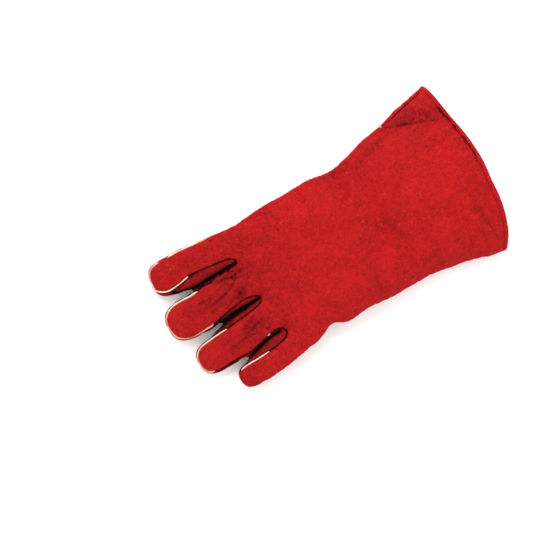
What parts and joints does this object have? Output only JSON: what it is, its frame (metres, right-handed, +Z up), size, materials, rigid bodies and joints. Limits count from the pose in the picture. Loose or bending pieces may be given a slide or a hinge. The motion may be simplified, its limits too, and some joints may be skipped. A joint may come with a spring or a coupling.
{
  "type": "light duty leather gauntlet glove, left hand",
  "caption": "Left gauntlet glove of red split leather with cream welts in its seams, lying palm down with the thumb folded beneath and the cuff open.",
  "frame": {"origin": "on the surface the glove lies on, under the middle of its box", "axes": "-X towards the fingertips, +X out of the cuff's mouth, +Y towards the index side, +Z up from the palm to the back of the hand"},
  "size_m": [0.3552, 0.1934, 0.0474],
  "materials": {
    "red_leather": "matt split leather with a fine mottled nap",
    "fourchette_leather": "matt split leather, a little darker than the back",
    "hem_leather": "turned and stitched matt split leather",
    "welt_leather": "cream leather strips in the seams",
    "thread": "red sewing thread"
  },
  "bodies": {
    "root": {"back_panel": "red_leather", "back_cuff": "red_leather", "back_index": "red_leather", "back_middle": "red_leather", "back_ring": "red_leather", "back_little": "red_leather", "palm_panel": "red_leather", "middle_front": "red_leather", "ring_front": "red_leather", "thumb_front": "red_leather", "thumb_back": "red_leather", "cuff_palm": "red_leather", "fourchette_index_middle": "fourchette_leather", "fourchette_middle_ring": "fourchette_leather", "fourchette_ring_little": "fourchette_leather", "cuff_hem": "hem_leather", "welt_index": "welt_leather", "welt_middle": "welt_leather", "welt_ring": "welt_leather", "welt_little": "welt_leather", "welt_thumb": "welt_leather", "welt_finger_base": "welt_leather", "welt_wrist": "welt_leather", "welt_cuff_side": "welt_leather"}
  },
  "joints": []
}
